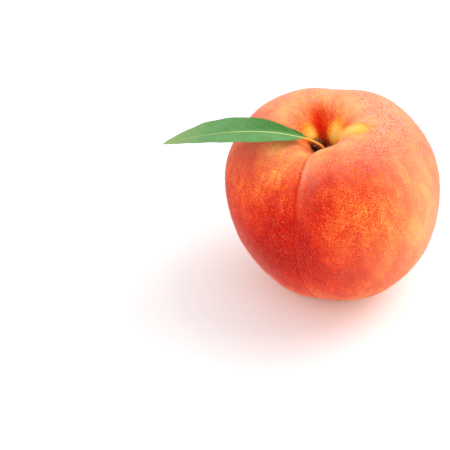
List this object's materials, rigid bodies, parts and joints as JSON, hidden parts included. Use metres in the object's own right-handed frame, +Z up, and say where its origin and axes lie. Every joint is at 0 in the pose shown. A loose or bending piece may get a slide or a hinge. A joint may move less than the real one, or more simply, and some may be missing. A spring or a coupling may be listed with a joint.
{
  "type": "peach",
  "caption": "Ripe whole peach with a seam down one side, a deep stem hollow holding a short woody stub, and one long slender leaf arching over its shoulder.",
  "frame": {"origin": "on the small flat spot that the fruit rests on, straight below the fruit's centre of mass", "axes": "+Z up, away from the resting spot; the leaf reaches towards -X; the seam faces -Y and a little towards -X"},
  "size_m": [0.096, 0.0691, 0.0761],
  "materials": {
    "skin": "soft downy skin, yellow-orange with a streaked deep red blush",
    "bark": "rough dry bark, broken off at the top",
    "leaf": "semi-matt green leaf with a pale midrib"
  },
  "bodies": {
    "root": {"peach_fruit": "skin", "stem_stub": "bark", "leaf": "leaf"}
  },
  "joints": []
}
